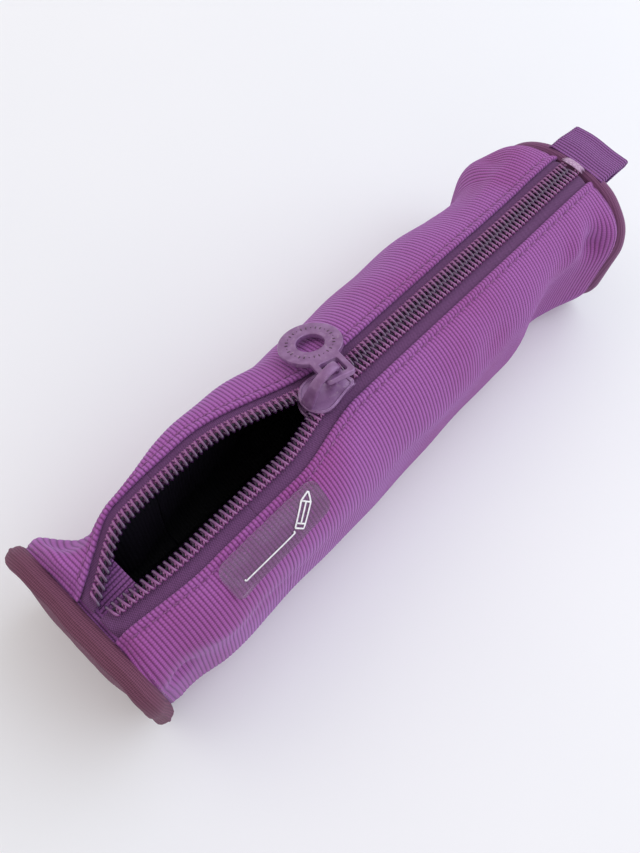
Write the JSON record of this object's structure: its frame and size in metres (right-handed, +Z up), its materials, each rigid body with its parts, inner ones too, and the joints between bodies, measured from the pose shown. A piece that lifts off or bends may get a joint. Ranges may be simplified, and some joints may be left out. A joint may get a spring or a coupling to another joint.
{
  "type": "pencil case",
  "caption": "Slim barrel pencil case of ribbed cloth with a coil zip, a slider with a ring pull, a clear label and a webbing loop at one end.",
  "frame": {"origin": "middle of the flat base that the case rests on, below the middle of the zip", "axes": "+X along the zip towards the hanging loop, +Y towards the left lip of the mouth, +Z up out of the zip"},
  "size_m": [0.201, 0.0488, 0.0615],
  "materials": {
    "outer_cloth": "ribbed polyester",
    "lining_cloth": "plain woven, matt",
    "webbing": "grosgrain webbing",
    "zip_tape": "woven twill tape",
    "coil_nylon": "nylon monofilament",
    "coil_core": "twisted cord",
    "thread": "sewing thread",
    "painted_slider": "semi-gloss paint",
    "clear_film": "clear flexible vinyl",
    "label_ink": "screen print"
  },
  "bodies": {
    "case": {"body_panel": "outer_cloth", "body_lining": "lining_cloth", "near_end_panel": "outer_cloth", "far_end_panel": "outer_cloth", "near_end_lining": "lining_cloth", "far_end_lining": "lining_cloth", "near_seam_binding": "lining_cloth", "far_seam_binding": "lining_cloth", "near_zip_guard": "webbing", "clear_label": "clear_film", "label_print": "label_ink", "near_seam_stitching": "thread", "far_seam_stitching": "thread", "loop_bar_tack": "thread"},
    "left_zip_half": {"left_zip_tape": "zip_tape", "left_zip_coil": "coil_nylon", "left_coil_core": "coil_core", "left_coil_stitching": "thread", "left_topstitch": "thread"},
    "right_zip_half": {"right_zip_tape": "zip_tape", "right_zip_coil": "coil_nylon", "right_coil_core": "coil_core", "right_coil_stitching": "thread", "right_topstitch": "thread"},
    "slider": {"slider_body": "painted_slider"},
    "pull_tab": {"pull_tab": "painted_slider"},
    "hanging_loop": {"webbing_loop": "webbing"}
  },
  "joints": [
    {"name": "slider_travel", "type": "slide", "parent": "case", "child": "slider", "axis": [1, 0, 0], "range_m": [-0.062, 0.095]},
    {"name": "left_lip_swing", "type": "hinge", "parent": "case", "child": "left_zip_half", "pos_m": [0, 0.01, 0], "axis": [1, 0, 0], "range_deg": [-16.7, 10.9], "deforming": ["left_zip_tape", "left_zip_coil", "left_coil_core", "left_coil_stitching", "left_topstitch"]},
    {"name": "right_lip_swing", "type": "hinge", "parent": "case", "child": "right_zip_half", "pos_m": [0, -0.01, 0], "axis": [1, 0, 0], "range_deg": [-5, 7.7], "deforming": ["right_zip_tape", "right_zip_coil", "right_coil_core", "right_coil_stitching", "right_topstitch"]},
    {"name": "pull_tab_swivel", "type": "hinge", "parent": "slider", "child": "pull_tab", "pos_m": [-0.014, 0, 0.0575], "axis": [0.1236, 0.4042, 0.9063], "range_deg": [-145, 40]},
    {"name": "loop_flex", "type": "hinge", "parent": "case", "child": "hanging_loop", "pos_m": [0.095, 0, 0.0472], "axis": [0, 1, 0], "range_deg": [-60, 70], "stiffness_Nm_per_rad": 0.0015}
  ],
  "couplings": [
    {"joint": "left_lip_swing", "follows": "slider_travel", "rad_per_m": -3.048},
    {"joint": "right_lip_swing", "follows": "slider_travel", "rad_per_m": 1.394}
  ]
}
